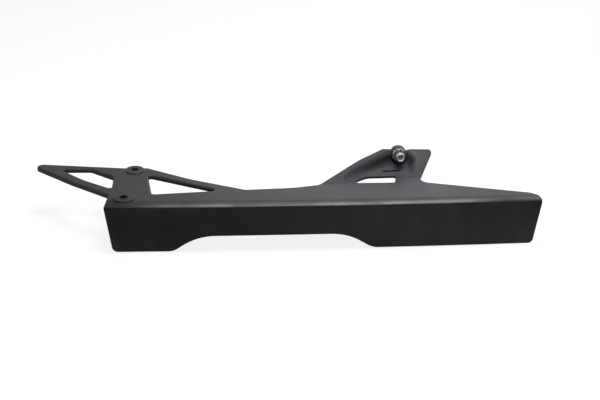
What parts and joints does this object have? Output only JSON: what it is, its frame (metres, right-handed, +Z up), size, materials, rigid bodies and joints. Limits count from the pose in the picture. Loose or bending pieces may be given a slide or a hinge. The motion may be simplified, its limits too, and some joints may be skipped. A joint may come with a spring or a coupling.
{
  "type": "motorcycle chain guard",
  "caption": "Moulded guard with an outer wall, a top flange, an open nose frame with two bolt holes and a rear ear with a bolt, fixed over a motorcycle's drive chain.",
  "frame": {"origin": "midway between the two front holes, on the underside of the plate that they pass through", "axes": "+X along the guard from its front to its rear, +Y inward from the outer wall, +Z up out of the flange"},
  "size_m": [0.4514, 0.095, 0.0636],
  "materials": {
    "black_plastic": "satin black moulding with a fine grain and light scuffs",
    "collar_steel": "worn zinc plating",
    "bolt_steel": "worn zinc plating with dark marks"
  },
  "bodies": {
    "root": {"chain_guard": "black_plastic", "rear_collar": "collar_steel", "rear_bolt": "bolt_steel"}
  },
  "joints": []
}
